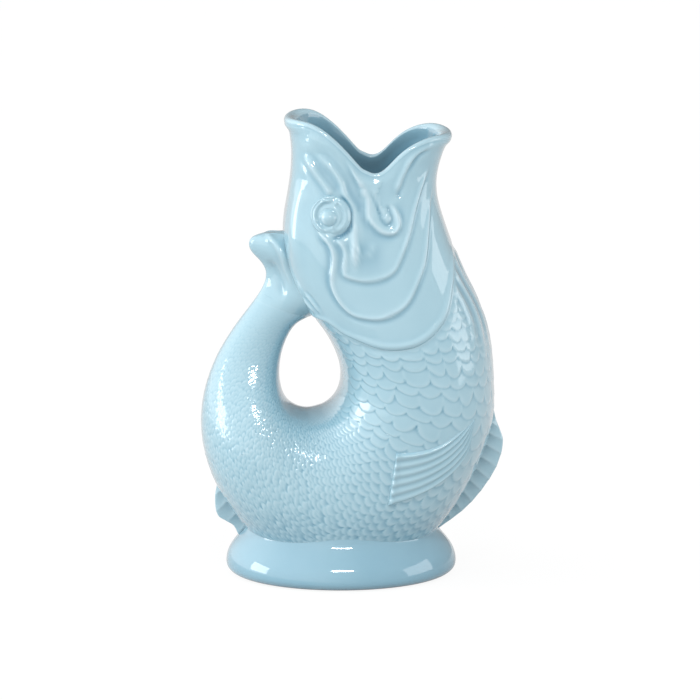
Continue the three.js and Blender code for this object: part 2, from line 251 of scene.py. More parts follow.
def line_through(points, steps):
    """A smooth line through given points, with the same number of steps in each gap."""
    points = np.asarray(points, float)
    ends = np.vstack([2 * points[0] - points[1], points, 2 * points[-1] - points[-2]])
    gaps = np.sqrt(np.linalg.norm(np.diff(ends, axis=0), axis=1))[:, None]
    runs = []
    for i in range(len(points) - 1):
        (a, b, c, d), (p, q, r) = ends[i:i + 4], gaps[i:i + 3]
        leave = ((b - a) / p - (c - a) / (p + q) + (c - b) / q) * q
        arrive = ((c - b) / q - (d - b) / (q + r) + (d - c) / r) * q
        w = np.arange(steps)[:, None] / steps
        bend, twist = -3 * b + 3 * c - 2 * leave - arrive, 2 * b - 2 * c + leave + arrive
        runs.append(b + leave * w + bend * w**2 + twist * w**3)
    return np.vstack(runs + [points[-1:]])


def eased(line, spread):
    """Takes the small kinks out of a sampled line, so that gloss runs along it unbroken."""
    far = int(3 * spread)
    weights = np.exp(-0.5 * (np.arange(-far, far + 1) / spread) ** 2)
    ahead, beyond = 2 * line[0] - line[far:0:-1], 2 * line[-1] - line[-2:-far - 2:-1]
    long = np.vstack([ahead, line, beyond])
    return np.stack([np.convolve(k, weights / weights.sum(), "valid") for k in long.T], 1)


ladder = np.array(list(RUNGS.values()), float)
BACK_RAIL = eased(line_through(ladder[:, [0, 4, 1]], RAIL_STEPS), RAIL_EASE * RAIL_STEPS)
BELLY_RAIL = eased(line_through(ladder[:, [2, 4, 3]], RAIL_STEPS), RAIL_EASE * RAIL_STEPS)
print("rails of", len(BACK_RAIL), "points each")

# %% [markdown]
# ## The skin over the ladder
# A slice of the fish is a rounded oval, a little fuller than an ellipse. With the rails and this oval, any
# point of the smooth skin is found from two numbers: its place along the fish, counted in rungs from the
# lips, and its turn round the slice, from 0 at the throat over 0.25 at the side in the photograph to 0.5
# at the back.

# %% Points on the smooth skin
def rung_at(place):
    """Middle, direction from back to belly, half length and half breadth of the slice at a place."""
    spot, marks = np.asarray(place, float) * RAIL_STEPS, np.arange(len(BACK_RAIL))
    back_x, half, back_z = (np.interp(spot, marks, k) for k in BACK_RAIL.T)
    belly_x, _, belly_z = (np.interp(spot, marks, k) for k in BELLY_RAIL.T)
    reach = np.hypot(belly_x - back_x, belly_z - back_z) / 2
    middle = (back_x + belly_x) / 2, (back_z + belly_z) / 2
    across = (belly_x - back_x) / 2 / reach, (belly_z - back_z) / 2 / reach
    return middle, across, reach, half


def from_table(table, value):
    return np.interp(value, list(table), list(table.values()))


def rounded(share, fullness):
    return np.sign(share) * np.abs(share) ** (2 / fullness)


def skin(place, turn, grow=0.0):
    """Points of the smooth skin in millimetres, grown outwards by so much."""
    (mid_x, mid_z), (to_x, to_z), reach, half = rung_at(place)
    angle = 2 * np.pi * np.asarray(turn)
    full = np.where(np.cos(angle) < 0, from_table(BACK_FULLNESS, place), from_table(FULLNESS, place))
    along = (reach + grow) * rounded(np.cos(angle), full)
    aside = -(half + grow) * rounded(np.sin(angle), full)
    return np.stack(np.broadcast_arrays(mid_x + to_x * along, aside, mid_z + to_z * along), -1)


def on_side(points, first, last):
    """Side-view points (x, z) set on the near skin, between two rungs."""
    places = np.linspace(first, last, 4000)
    (mid_x, mid_z), (to_x, to_z), reach, half = rung_at(places)
    front_full, back_full = from_table(FULLNESS, places), from_table(BACK_FULLNESS, places)
    found = []
    for x, z in points:
        off_line = np.abs((x - mid_x) * to_z - (z - mid_z) * to_x)
        share = ((x - mid_x) * to_x + (z - mid_z) * to_z) / reach
        best = np.argmin(off_line + 1e3 * (np.abs(share) > 1.2))
        full = (back_full if share[best] < 0 else front_full)[best]
        inside = max(0.0, 1 - min(1.0, abs(share[best])) ** full)
        found.append((x, -half[best] * inside ** (1 / full), z))
    return np.array(found)


print("belly breadth", round(2 * ladder[:, 4].max()), "mm")

# %% [markdown]
# ## Tools for clay
# Each skin piece starts as a flat grid. The grid is rolled into a tube by giving every point a place on
# the fish, which no string of hand moves could do for so many scales, and then its seam is welded.
# Relief is clay added along the skin's own normal, so it stands out evenly wherever the skin turns.

# %% Grid, weld and relief
def rolled_grid(name, across, along):
    bpy.ops.object.select_all(action="DESELECT")
    bpy.ops.mesh.primitive_grid_add(x_subdivisions=across, y_subdivisions=along, size=1)
    piece = bpy.context.object
    piece.name = piece.data.name = name
    return piece


def point_numbers(piece, table):
    """Which row and column of a table each point of a flat grid stands for."""
    flat = np.empty(3 * len(piece.data.vertices))
    piece.data.vertices.foreach_get("co", flat)
    flat = flat.reshape(-1, 3) + 0.5
    rows, columns = table.shape[0] - 1, table.shape[1] - 1
    return np.rint(flat[:, 1] * rows).astype(int), np.rint(flat[:, 0] * columns).astype(int)


def shape_grid(piece, table, glaze_and_shade):
    """Moves a grid's points to a table of millimetres, and keeps its glaze depth with any painted shade and
    highlight.
    """
    row, column = point_numbers(piece, table)
    pool_and_shade = piece.data.attributes.new("pool_and_shade", "FLOAT", "POINT")
    pool_and_shade.data.foreach_set("value", glaze_and_shade[row, column].astype(np.float32))
    piece.data.vertices.foreach_set("co", (table[row, column] * MM).astype(np.float32).ravel())
    piece.data.update()
    weld(piece)


def weld(piece):
    bpy.ops.object.select_all(action="DESELECT")
    piece.select_set(True)
    bpy.context.view_layer.objects.active = piece
    bpy.ops.object.mode_set(mode="EDIT")
    bpy.ops.mesh.select_all(action="SELECT")
    bpy.ops.mesh.remove_doubles(threshold=0.01 * MM)
    bpy.ops.mesh.dissolve_degenerate(threshold=0.002 * MM)
    bpy.ops.mesh.normals_make_consistent(inside=False)
    bpy.ops.object.mode_set(mode="OBJECT")
    bpy.ops.object.shade_smooth()


def ring_normals(table):
    """Outward normals of a tube whose last column repeats its first."""
    open_ring = table[:, :-1]
    round_it = np.roll(open_ring, -1, 1) - np.roll(open_ring, 1, 1)
    along_it = np.gradient(open_ring, axis=0)
    normal = np.cross(round_it, along_it)
    normal /= np.maximum(np.linalg.norm(normal, axis=-1, keepdims=True), 1e-9)
    outwards = open_ring - open_ring.mean(1, keepdims=True)
    normal *= np.sign((normal * outwards).sum())
    return np.concatenate([normal, normal[:, :1]], 1)


def softened(table, passes):
    """A table of heights with its fine detail rubbed out."""
    ring = table[:, :-1].copy()
    for _ in range(passes):
        ring = (np.roll(ring, 1, 1) + 2 * ring + np.roll(ring, -1, 1)) / 4
        tall = np.concatenate([ring[:1], ring, ring[-1:]])
        ring = (tall[:-2] + 2 * tall[1:-1] + tall[2:]) / 4
    return np.concatenate([ring, ring[:, :1]], 1)


def pooling(height, passes, strength):
    """How much the glaze runs off ridges (below 0) and pools in hollows (above 0)."""
    return np.clip((softened(height, passes) - height) * strength, -1, 1)


def smooth_step(value, low, high):
    share = np.clip((value - low) / (high - low), 0, 1)
    return share * share * (3 - 2 * share)


def rounded_edge(distance, radius):
    """Rises on a quarter circle from 0 at an edge to 1 at a distance inside it."""
    return np.sqrt(np.clip(1 - (1 - np.clip(distance / radius, 0, 1)) ** 2, 0, 1))


print("tools ready")

# %% [markdown]
# ## Lines on the head
# The head is made of overlapping plates with rolled edges. Every edge, ridge and groove is a line drawn on
# the side of the head. A line's relief depends only on how far a point of the skin is from it and on
# which side it lies, so one small helper measures that for all of them.

# %% Measuring from a line
LINE_STEPS = 6


def line_on_head(points):
    return line_through(on_side(points, 0, 9), LINE_STEPS)


def from_line(skin_points, normals, line):
    """Distance from a line on the near side, left of it positive, and the share of it passed."""
    near, facing = skin_points.reshape(-1, 3), normals.reshape(-1, 3)
    to_near_side = np.where(near[:, 1:2] > 0, (1, -1, 1), (1, 1, 1))
    near, facing = near * to_near_side, facing * to_near_side
    starts, runs = line[:-1], np.diff(line, axis=0)
    lengths = np.linalg.norm(runs, axis=1)
    passed = np.concatenate([[0], np.cumsum(lengths)])
    best = np.full(len(near), 1e9)
    side = np.ones(len(near))
    share = np.zeros(len(near))
    for start, run, length, before in zip(starts, runs, lengths, passed):
        offset = near - start
        part = np.clip(offset @ run / length**2, 0, 1)
        gap = offset - part[:, None] * run
        distance = np.linalg.norm(gap, axis=1)
        closer = distance < best
        best[closer] = distance[closer]
        leftward = (np.cross(facing, run) * offset).sum(1)
        side[closer] = np.where(leftward[closer] >= 0, 1, -1)
        share[closer] = (before + part[closer] * length) / passed[-1]
    shape = skin_points.shape[:2]
    return (best * side).reshape(shape), share.reshape(shape)


def ends_fade(share, first, last):
    return smooth_step(share, 0, first) * smooth_step(1 - share, 0, last)


def ridge(distance, width):
    return np.exp(-(distance / width) ** 2)


def plate(distance, rise, fade, roll, groove):
    """A plate that lies on the left of its line: thick at its rolled edge and thinning away from it."""
    inside = np.maximum(distance, 0)
    body = rise * smooth_step(distance, -0.6, 0.9) * np.exp(-inside / fade)
    return body + roll * ridge(distance - 0.9, 1.1) - groove * ridge(distance + 1.2, 1.3)


print("line tools ready")

# %% [markdown]
# ## The head
# The head runs from the free edge of the gill covers up to the lips, over the lip and back down inside.
# It is one wall of clay, so the grid is rolled twice: round the neck, and from outside over the lip to the
# inside, until it closes on itself.

# %% Where the head begins and ends
HEAD_COLUMNS = 340
HEAD_ROWS, LIP_ROWS, THROAT_ROWS = 196, 14, 34
LIP_WALL, LIP_SWELL, THROAT_WALL = 4.2, 0.9, 5.4
UNDERCUT = 1.3
LIP_LINE = [
    (-39, 224.6), (-32, 227.4), (-24, 228), (-17.8, 225.9), (-12.6, 222.3), (-7.8, 218.3), (-3, 213.4),
    (2.6, 207.6), (6.8, 204.6), (10.8, 203.8), (14.8, 205.2), (18.8, 208.7), (23, 212.8), (28, 216.4),
    (34.2, 219.1), (40, 220.3), (45, 220.1), (56, 217.1),
]
GILL_EDGE = [
    (-40, 132), (-16.7, 131.5), (-11.2, 131), (-7.2, 127), (-0.7, 124.3), (5.8, 121.7), (13.3, 119.5),
    (21.3, 119.3), (29.3, 120.7), (36.3, 124.3), (41.3, 129.1), (44.8, 133.9), (46.4, 138), (47.8, 145.3),
    (48.6, 152.5), (48.9, 159.5), (49.3, 165.5), (60, 167),
]


def crossing(line, turns, lowest, drop):
    """The place on each column of the skin where it first rises above a side-view line."""
    drawn = eased(line_through(line, 20), 8)
    places = np.linspace(lowest, 0, 3000)
    points = skin(places[:, None], turns[None, :])
    above = points[..., 2] > np.interp(points[..., 0], drawn[:, 0], drawn[:, 1]) - drop
    found = places[np.argmax(above, 0)]
    for _ in range(6):
        found[:-1] = (np.roll(found[:-1], 1) + 2 * found[:-1] + np.roll(found[:-1], -1)) / 4
        found[-1] = found[0]
    return found


head_turns = np.linspace(0, 1, HEAD_COLUMNS + 1)
gill_places = crossing(GILL_EDGE, head_turns, 9, 0)
lip_places = crossing(LIP_LINE, head_turns, 4, LIP_WALL / 2)
print("gills at rungs", gill_places.min().round(2), "to", gill_places.max().round(2))

# %% Smooth skin of the head
EDGE_ROWS, EDGE_SHARE = 12, 0.03
rise = np.concatenate([
    np.linspace(0, EDGE_SHARE, EDGE_ROWS, endpoint=False),
    np.linspace(EDGE_SHARE, 1, HEAD_ROWS - EDGE_ROWS),
])[:, None]
head_places = gill_places + (lip_places - gill_places) * rise
head_skin = skin(head_places, head_turns[None, :])
head_normals = ring_normals(head_skin)
gill_line = head_skin[0, :HEAD_COLUMNS // 2 + 1]
lip_line = head_skin[-1, :HEAD_COLUMNS // 2 + 1]
from_gill = np.abs(from_line(head_skin, head_normals, gill_line)[0])
from_lip = np.abs(from_line(head_skin, head_normals, lip_line)[0])
print("head skin", head_skin.shape)

# %% [markdown]
# ## Relief of the head
# From the back forwards: the gill cover with its rolled free edge, the two plates in front of it, the
# upper jaw that ends in a drop behind the mouth's corner, the brow that runs down round the eye, and the
# roll of the lower lip. All of them are thick soft clay lines under glaze, so no edge is sharp. The wide
# ridge by the nape is there for the gloss, which draws a thin light along a ridge and a broad one on a
# round side.

# %% Lines drawn on the head
UPPER_JAW = [
    (-16.6, 222.5), (-9.6, 219), (-5.1, 214.5), (-2.6, 209), (0.4, 202), (3.4, 196.5), (5.4, 191.5),
    (5.9, 186), (7.4, 181), (9.9, 178), (12.9, 175.5), (15.9, 174.5), (18.9, 174.5), (20.9, 175.5),
    (22.2, 178), (22.4, 181), (21.4, 184.5), (19.9, 187.5), (18.2, 189.1), (15.7, 189.5),
]
JAW_TONGUE = [
    (5.9, 199.5), (7.9, 195), (10.2, 190), (12.1, 185), (13.9, 181.1), (15.9, 179.3), (17.9, 180.1),
    (18.4, 182.5), (17.4, 185.5), (15.4, 189.5),
]
BROW_FRONT = [(-24.1, 212.5), (-20.6, 208), (-17.1, 202.2), (-14.2, 198.2), (-12, 195), (-10.8, 192.9)]
BROW_BACK = [
    (-19.6, 215.2), (-16.3, 211.5), (-11.1, 206.8), (-8.2, 203.2), (-5.8, 199), (-4.7, 194.8),
    (-3, 191.3), (-1, 188), (0.2, 184), (0.5, 178.8), (0.4, 172.6), (0.4, 164),
]
GILL_PLATE = [
    (-18.2, 177.6), (-17.2, 175.2), (-15.6, 172.9), (-12.6, 169.5), (-11, 165.5), (-10.8, 160.5),
    (-11.5, 155.1), (-11.2, 150.5), (-9.1, 145.2), (-5.4, 140), (-0.5, 136.1), (5.8, 134.5),
    (12.9, 134.3), (19.3, 136.5), (24.7, 140.2), (27.7, 144), (30, 148.5), (32.4, 154.3), (34.2, 159.5),
    (35.4, 167), (36, 174.2), (36.7, 181.5), (37.8, 191), (40, 196),
]
CHEEK_PLATE = [
    (-9.8, 173.3), (-8.3, 171.3), (-5.8, 167.8), (-5.1, 164.3), (-5.6, 159.1), (-5.1, 155.3),
    (-0.4, 153.1), (7.4, 152.2), (15.4, 154.1), (19.8, 157), (22.4, 161.5), (25.1, 167.9), (27.2, 174.5),
    (28.6, 180.5), (30.2, 186.9), (32.2, 193.5), (34.7, 200.1), (37.6, 206.5),
]
LIP_GROOVE = [(38.4, 215), (32.4, 212.1), (28.4, 207.5), (24.9, 202.1), (22.9, 196.5), (20.6, 190.8)]
LIP_ROLL = [
    (41.4, 217.9), (36.2, 216.8), (31.4, 214.2), (28.1, 211), (25.4, 205.3), (22.6, 199.5), (20.4, 193.5),
]
TAIL_FOLDS = [
    [(-27.6, 145.4), (-26, 141.3), (-24.5, 137.2)],
    [(-24, 145.4), (-21, 142.4), (-18.4, 139.4), (-14.4, 134.7)],
    [(-24.4, 141.8), (-21.4, 138.8), (-17, 134.7)],
]
# middle x and z, how wide and how tall, height
HEAD_LUMPS = [(-21.5, 217, 5, 5, 1.1), (-21.5, 206, 5, 6, 1.1), (0.4, 165, 1.5, 5, 1.9)]
CHEEK_FOLD = [(10, 172.5), (9.2, 169.5), (7.8, 166), (4.4, 162.5)]
NAPE_RIDGE = [
    (-22.5, 198.5), (-24.5, 195.4), (-26.4, 191), (-27.9, 186), (-28.9, 180), (-29.2, 174), (-28.8, 168),
    (-27.8, 162), (-26.4, 156),
]
PLATES = [
    # line, rise, how far in it thins, roll along its edge, then the roll added over its first part and over
    # its last, with the shares of its length between which that changes, groove outside, fades at its ends
    (GILL_PLATE, 0.95, 12, 0.28, (0.8, 0.24, 0.38), (0.3, 0.6, 0.75), 0.35, (0.05, 0.2)),
    (CHEEK_PLATE, 0.8, 10, 0.22, (0.5, 0.15, 0.28), (0.45, 0.5, 0.62), 0.3, (0.05, 0.12)),
    (UPPER_JAW, 1.0, 8, 0.75, (0, 0, 1), (0, 0, 1), 0.25, (0.03, 0.12)),
]
GROOVED_RIDGES = [
    # line, height, width, then depth, distance and width of the groove on either side, fades at its ends
    (BROW_FRONT, 1.2, 1.6, 0.3, 3.2, 1.6, (0.3, 0.1)),
    (BROW_BACK, 1.25, 1.35, 0.3, 3.2, 1.6, (0.3, 0.1)),
    *((fold, 0.7, 1.2, 0.35, 1.9, 0.9, (0.3, 0.4)) for fold in TAIL_FOLDS),
]
SOFT_LINES = [
    # line, how far to its left, height, width, fades at its ends
    (JAW_TONGUE, 0, -0.8, 1.0, (0.3, 0.1)),
    (JAW_TONGUE, 2.2, 0.5, 1.4, (0.5, 0.1)),
    (LIP_GROOVE, 0, -0.8, 1.2, (0.2, 0.1)),
    (LIP_ROLL, 0, 1.1, 1.7, (0.15, 0.15)),
    (CHEEK_FOLD, 0, 0.45, 1.6, (0.4, 0.3)),
    (NAPE_RIDGE, 0, 1.1, 4.5, (0.2, 0.35)),
]
EYE_MIDDLE, EYE_RADIUS = np.array([-11.0, 183.4]), 10.0
print("plates:", len(PLATES), "grooved ridges:", len(GROOVED_RIDGES), "soft lines:", len(SOFT_LINES))

# %% Plates, brows and lips
def measured(points):
    """How far each point of the head is from a line, and the share of the line that it has passed."""
    return from_line(head_skin, head_normals, line_on_head(points))


from_middle = np.minimum(head_turns, 1 - head_turns)[None, :]
on_flank = smooth_step(from_middle, 0.01, 0.10) * smooth_step(0.5 - from_middle, 0.0, 0.09)
head_relief = (1.5 * np.exp(-from_gill / 16) + 0.5 * ridge(from_gill - 2.4, 1.5)) * on_flank
for line, height, fade, roll, (first, *first_ends), (last, *last_ends), groove, fades in PLATES:
    gap, share = measured(line)
    roll = roll + first * (1 - smooth_step(share, *first_ends)) + last * smooth_step(share, *last_ends)
    head_relief += plate(gap, height, fade, roll, groove) * ends_fade(share, *fades)
for line, height, width, groove, groove_far, groove_width, fades in GROOVED_RIDGES:
    gap, share = measured(line)
    head_relief += height * ridge(gap, width) * ends_fade(share, *fades)
    head_relief -= groove * ridge(np.abs(gap) - groove_far, groove_width) * ends_fade(share, *fades)
for line, leftwards, height, width, fades in SOFT_LINES:
    gap, share = measured(line)
    head_relief += height * ridge(gap - leftwards, width) * ends_fade(share, *fades)
eye_gap = np.hypot(head_skin[..., 0] - EYE_MIDDLE[0], head_skin[..., 2] - EYE_MIDDLE[1])
rightwards = (head_skin[..., 0] - EYE_MIDDLE[0] - 0.2 * (head_skin[..., 2] - EYE_MIDDLE[1])) / EYE_RADIUS
crease = ridge(eye_gap - EYE_RADIUS - 0.3, 1.1) * smooth_step(rightwards, 0.15, 0.55)
head_relief -= 1.3 * crease
for lump_x, lump_z, wide, tall, height in HEAD_LUMPS:
    off_x, off_z = (head_skin[..., 0] - lump_x) / wide, (head_skin[..., 2] - lump_z) / tall
    head_relief += height * np.exp(-off_x**2 - off_z**2)
tips = np.cos(2 * np.pi * head_turns)[None, :] ** 4
head_relief *= smooth_step(from_lip, 0.5, 4)
lip_bead = 1.4 * tips * ridge(from_lip - 0.8, 2.6)
lip_slimming = 1.1 * (1 - tips) * np.exp(-from_lip / 2.4)
head_relief += lip_bead - lip_slimming
print("relief of the head", head_relief.min().round(2), "to", head_relief.max().round(2), "mm")

# %% Lip, throat and gill edge
GILL_ROUNDING, GILL_TUCK = 2.0, 0.7
head_relief = -GILL_TUCK + (head_relief + GILL_TUCK) * rounded_edge(from_gill, GILL_ROUNDING)
head_outside = head_skin + head_normals * head_relief[..., None]

lip_wall = LIP_WALL + LIP_SWELL * tips[0]
lip_outside, lip_inside = head_outside[-1], skin(lip_places, head_turns, -lip_wall)
up = skin(lip_places - 0.05, head_turns) - skin(lip_places, head_turns)
up /= np.linalg.norm(up, axis=-1, keepdims=True)
lip_angles = np.linspace(0, np.pi, LIP_ROWS + 2)[1:-1, None, None]
lip_middle, lip_half = (lip_outside + lip_inside) / 2, (lip_outside - lip_inside) / 2
lip_radius = np.linalg.norm(lip_half, axis=-1, keepdims=True)
lip_round = lip_middle + np.cos(lip_angles) * lip_half + np.sin(lip_angles) * lip_radius * up

sink = np.linspace(0, 1, THROAT_ROWS)[:, None]
throat_places = lip_places + (gill_places - lip_places) * sink
throat_wall = lip_wall + (THROAT_WALL - lip_wall) * sink - UNDERCUT * smooth_step(sink, 0, 0.1) * (1 - sink)
throat = skin(throat_places, head_turns[None, :], -throat_wall)
head_table = np.concatenate([head_outside, lip_round, throat, head_outside[:1]])
head_glaze_and_shade = np.concatenate([
    # glaze pooled by the relief, and darker in the crease right of the eye: partly pooled glaze, partly
    # painted shade
    pooling(head_relief, 26, 0.9) + 0.3 * crease,
    np.full(lip_round.shape[:2], -0.25),
    # inside the mouth, darker the deeper it goes: partly deeper glaze, partly painted shade of the hollow
    np.repeat(0.45 + 0.75 * smooth_step(sink, 0, 0.3), HEAD_COLUMNS + 1, 1),
    np.zeros((1, HEAD_COLUMNS + 1)),
])
head = rolled_grid("glazed_head", HEAD_COLUMNS, len(head_table) - 1)
shape_grid(head, head_table, head_glaze_and_shade)
print("head:", len(head.data.polygons), "faces")

# %% [markdown]
# ## Scales
# Real scales overlap like roof tiles with their round free edges towards the tail. A point of the skin
# belongs to the scale whose free edge lies next below it. Each scale is tilted, highest at its free edge,
# and its edge drops to the next row. Rows get shorter and scales narrower down the belly, until on the
# tail they are only pebbles, lower and lower so that a light can run on over them. A small hash moves and
# tilts each one, as a hand-cut mould does.

# %% Rows of scales
SCALE_ROWS = {
    6: 4.4, 7.3: 5.8, 8.6: 7.0, 9.6: 7.2, 10.4: 6.0, 11: 4.8, 12: 3.9, 13: 3.3, 15: 2.8, 18: 2.4, 23: 2.0,
}
SCALES_ROUND = {
    6: 36, 7.3: 28, 8.6: 24, 9.6: 24, 10.4: 32, 11: 42, 12: 62, 13: 80, 14: 88, 15: 84, 16: 74, 18: 54,
    20: 40, 23: 30,
}
SCALE_RISE = {4: 0.58, 9: 0.6, 11: 0.56, 13: 0.5, 15: 0.39, 16: 0.31, 17: 0.23, 18: 0.17, 21: 0.04, 22: 0}
ROW_TURN = 0.2

scale_places = np.linspace(3.5, 24, 6000)
row_path = skin(scale_places, ROW_TURN)
row_lengths = np.linalg.norm(np.diff(row_path, axis=0), axis=1)
row_count = np.concatenate([[0], np.cumsum(row_lengths / from_table(SCALE_ROWS, scale_places[:-1]))])
PEBBLE_ROWS = np.interp((11, 14), scale_places, row_count)
print("rows of scales:", int(row_count[-1]))

# %% Heights of the scales
CELL_SPOTS = (-1 / 3, 0, 1 / 3)


def chance(row, column, salt):
    """A share from 0 to 1 that looks random and is the same on every run."""
    wave = np.sin(row * 12.9898 + column * 78.233 + salt * 37.719) * 43758.5453
    return wave - np.floor(wave)


def wander(place, turn):
    """A slow wave over the skin, so that no two rows run quite alike."""
    return np.sin(5.1 * place + 31 * turn) * np.sin(2.3 * place - 47 * turn + 2)


def one_row(row, side_turn):
    """Where across its scale (-1 to 1) a point lies, the scale's number and how rough the row is."""
    around = 2 * np.rint(from_table(SCALES_ROUND, np.interp(row, row_count, scale_places)) / 2)
    rough = smooth_step(row, *PEBBLE_ROWS)
    weave = 0.35 * rough * np.sin(1.7 * row + 0.8 * around * side_turn)
    spot = side_turn * around + 0.5 * np.mod(row, 2) + weave
    number = np.rint(spot)
    shift = (0.1 + 0.5 * rough) * (chance(row, number, 1) - 0.5)
    return np.clip(2 * (spot - number) + shift, -1, 1), number, rough


def scale_height(place, turn):
    """Height of the scales, 0 to about 1, at places and turns of the skin."""
    side_turn = np.minimum(turn, 1 - turn)
    rows = np.interp(place, scale_places, row_count) + 0.22 * wander(place, side_turn)
    above = np.floor(rows)
    height = None
    for row, offset in ((above, 0), (above + 1, 1)):
        spread, number, rough = one_row(row, side_turn)
        length = 0.96 + (0.08 + 0.5 * rough) * (chance(row, number, 2) - 0.5)
        arc = 0.34 + 0.66 * np.sqrt(np.clip(1 - spread**2, 0, 1))
        edge = length * arc + offset - (rows - above)
        lift = (1 - edge / 1.9) * (0.3 + 0.7 * (1 - np.exp(-np.maximum(edge, 0) / 0.07)))
        lift += 0.12 * (1 - spread**2) + (0.1 + 0.3 * rough) * (chance(row, number, 3) - 0.5)
        height = lift if height is None else np.where(on_top, height, lift)
        on_top = edge > 0
    return height


def scales(places, turns):
    """Heights in millimetres, each averaged over its own grid cell so that edges don't stair-step."""
    place_step = np.abs(np.gradient(places, axis=0))
    turn_step = turns[0, 1] - turns[0, 0]
    total = 0
    for down in CELL_SPOTS:
        for aside in CELL_SPOTS:
            total = total + scale_height(places + down * place_step, np.mod(turns + aside * turn_step, 1))
    return from_table(SCALE_RISE, places) * total / len(CELL_SPOTS) ** 2


print("heights averaged over", len(CELL_SPOTS) ** 2, "spots of a cell")

# %% [markdown]
# ## Chest, belly and tail
# These three tubes carry the scales. The chest starts just under the gill covers, the belly runs round
# below the handle hole with its underside hidden in the foot, and the tail narrows up to the fluke. Each
# is a wall with an inside, as the cast clay is.

# %% Relief and glaze of the body
FOOT_TOP_OUTSIDE, FOOT_TOP_INSIDE = 12, 17
BELLY_START = RUNG_NUMBER["fin_middle"]
WRIST = RUNG_NUMBER["tail_wrist"]
FRONT_SINK, WRIST_SINK, FOOT_TUCK = 0.25, 0.3, 0.8
TUCK_HEIGHTS, LOW_HEIGHTS = (22, 42), (24, 52)
# Round the handle hole and low on the belly the glaze is coloured darker: painted shade, partly deeper
# glaze.
HOLE_SHADE_AND_POOL, LOW_SHADE_AND_POOL = 0.25, 0.25
HOLE_SINK = {6: 0.3, 8: 0.6, 10: 1.0, 11.5: 1.9, 13: 2.1, 15: 1.9, 16.5: 1.0, 18: 0.5, 22: 0.3}


def body_relief(places, turns, smooth, extra):
    """The scales, smoothed out round the handle hole and tucked in where the foot and the fluke begin."""
    relief = scales(places, np.broadcast_to(turns, places.shape))
    if extra is not None:
        relief = extra(places, turns, relief)
    from_edge = np.minimum(turns, 1 - turns)
    by_hole = (1 - smooth_step(0.5 - from_edge, 0.04, 0.13)) * smooth_step(places, 6.2, 7.2)
    relief *= 1 - 0.9 * by_hole * (1 - smooth_step(places, 18.5, 20))
    relief -= FRONT_SINK * (1 - smooth_step(from_edge, 0.02, 0.12)) * (places < BELLY_START)
    relief -= from_table(HOLE_SINK, places) * (1 - smooth_step(0.5 - from_edge, 0.02, 0.14))
    relief *= smooth_step(smooth[..., 2], FOOT_TOP_INSIDE - 2, FOOT_TOP_INSIDE + 3)
    relief -= FOOT_TUCK * (1 - smooth_step(smooth[..., 2], *TUCK_HEIGHTS)) * np.sin(2 * np.pi * turns) ** 2
    relief -= WRIST_SINK * smooth_step(places, WRIST + 0.6, WRIST + 0.9)
    return relief


def body_glaze_and_shade(places, turns, smooth, relief):
    """Glaze depth by the relief, plus painted shade, partly deeper glaze, round the handle hole and low
    down.
    """
    round_hole = smooth_step(np.minimum(turns, 1 - turns), 0.25, 0.42) * smooth_step(places, 9, 12)
    low_down = 1 - smooth_step(smooth[..., 2], *LOW_HEIGHTS)
    runs_off = 4 + 2.5 * smooth_step(places, 14, 17.5)
    return pooling(relief, 8, runs_off) + HOLE_SHADE_AND_POOL * round_hole + LOW_SHADE_AND_POOL * low_down


print("the belly starts at rung", BELLY_START, "and the tail's wrist is rung", WRIST)

# %% Making a scaled tube
BODY_WALL = 5.0
SPARE_ROWS, LAP_ROWS, SEAM_TUCK = 12, 2, 0.012


def scaled_tube(name, start, stop, columns, rows, inner_rows, extra=None):
    """A tube from one place to another: outside with its relief, inside a wall's thickness further in."""
    turns = np.linspace(0, 1, columns + 1)[None, :]
    first = np.interp(turns, head_turns, start) if np.ndim(start) else np.full_like(turns, start)
    share = np.linspace(-SPARE_ROWS / rows, 1 + SPARE_ROWS / rows, rows + 2 * SPARE_ROWS)[:, None]
    places = first + (stop - first) * share
    smooth = skin(places, turns)
    relief = body_relief(places, turns, smooth, extra) - SEAM_TUCK * ((share < 0) | (share > 1))
    glaze_and_shade = body_glaze_and_shade(places, turns, smooth, relief)
    kept = slice(SPARE_ROWS - LAP_ROWS, rows + SPARE_ROWS + LAP_ROWS)
    outside = (smooth + ring_normals(smooth) * relief[..., None])[kept]
    outside[..., 2] = np.maximum(outside[..., 2], FOOT_TOP_OUTSIDE)
    back_again = stop + (first - stop) * np.linspace(0, 1, inner_rows)[:, None]
    inside = skin(back_again, turns, -BODY_WALL)
    inside[..., 2] = np.maximum(inside[..., 2], FOOT_TOP_INSIDE)
    table = np.concatenate([outside, inside, outside[:1]])
    pool_and_shade = np.concatenate([
        glaze_and_shade[kept], np.full(inside.shape[:2], 0.5), np.zeros((1, columns + 1)),
    ])
    piece = rolled_grid(name, columns, len(table) - 1)
    shape_grid(piece, table, pool_and_shade)
    print(name, len(piece.data.polygons), "faces")
    return piece


print("tube tool ready")

# %% The three tubes
FOLDS_ROUND, FOLD_RISE = 28, 0.8


def under_gills(places, turns, relief):
    """Scales start flat under the gill edge, and hang as long folds below the throat."""
    edge, side = np.interp(turns, head_turns, gill_places), np.minimum(turns, 1 - turns)
    throat = (1 - smooth_step(side, 0.08, 0.14)) * (1 - smooth_step(places, 6.0, 7.6))
    folds = (0.5 + 0.5 * np.cos(2 * np.pi * (FOLDS_ROUND * side + 0.2 * np.sin(2.4 * places)))) ** 1.5
    relief = relief + throat * (FOLD_RISE * folds - relief)
    return relief * smooth_step(places - edge, 0, 0.25) - smooth_step(edge - places, 0, 0.12)


